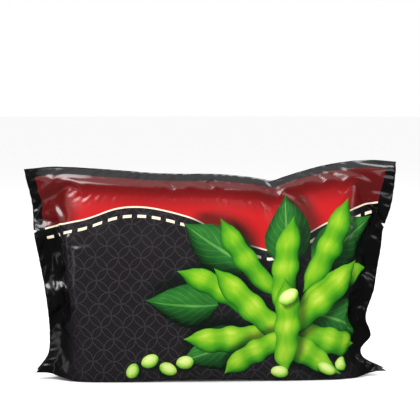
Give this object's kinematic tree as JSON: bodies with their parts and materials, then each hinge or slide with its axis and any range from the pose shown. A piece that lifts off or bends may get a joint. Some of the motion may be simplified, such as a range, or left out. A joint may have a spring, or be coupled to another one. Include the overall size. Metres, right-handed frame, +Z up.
{
  "type": "stand-up pouch of edamame pods",
  "caption": "Sealed glossy stand-up pouch with side and top seals, tear notches and an opened bottom gusset, filled with loose green bean pods.",
  "frame": {"origin": "on the surface that the pouch stands on, under the middle of its bounding box", "axes": "+X along the pouch's width, to the right seen from the front; the printed front faces -Y; +Z up"},
  "size_m": [0.2802, 0.0547, 0.1617],
  "materials": {
    "printed_film_front": "gloss laminate, reverse-printed",
    "printed_film_back": "gloss laminate, reverse-printed",
    "black_film": "gloss laminate, plain black",
    "blanched_pod": "moist green bean shell"
  },
  "bodies": {
    "root": {"back_panel": "printed_film_back", "bottom_gusset": "black_film", "front_panel": "printed_film_front", "pod_01": "blanched_pod", "pod_02": "blanched_pod", "pod_03": "blanched_pod", "pod_04": "blanched_pod", "pod_05": "blanched_pod", "pod_06": "blanched_pod", "pod_07": "blanched_pod", "pod_08": "blanched_pod", "pod_09": "blanched_pod", "pod_10": "blanched_pod", "pod_11": "blanched_pod", "pod_12": "blanched_pod", "pod_13": "blanched_pod", "pod_14": "blanched_pod", "pod_15": "blanched_pod", "pod_16": "blanched_pod", "pod_17": "blanched_pod", "pod_18": "blanched_pod", "pod_19": "blanched_pod", "pod_20": "blanched_pod", "pod_21": "blanched_pod", "pod_22": "blanched_pod", "pod_23": "blanched_pod", "pod_24": "blanched_pod", "pod_25": "blanched_pod", "pod_26": "blanched_pod", "pod_27": "blanched_pod", "pod_28": "blanched_pod", "pod_29": "blanched_pod", "pod_30": "blanched_pod", "pod_31": "blanched_pod", "pod_32": "blanched_pod", "pod_33": "blanched_pod", "pod_34": "blanched_pod", "pod_35": "blanched_pod", "pod_36": "blanched_pod", "pod_37": "blanched_pod", "pod_38": "blanched_pod", "pod_39": "blanched_pod", "pod_40": "blanched_pod", "pod_41": "blanched_pod", "pod_42": "blanched_pod", "pod_43": "blanched_pod", "pod_44": "blanched_pod", "pod_45": "blanched_pod", "pod_46": "blanched_pod", "pod_47": "blanched_pod"}
  },
  "joints": []
}
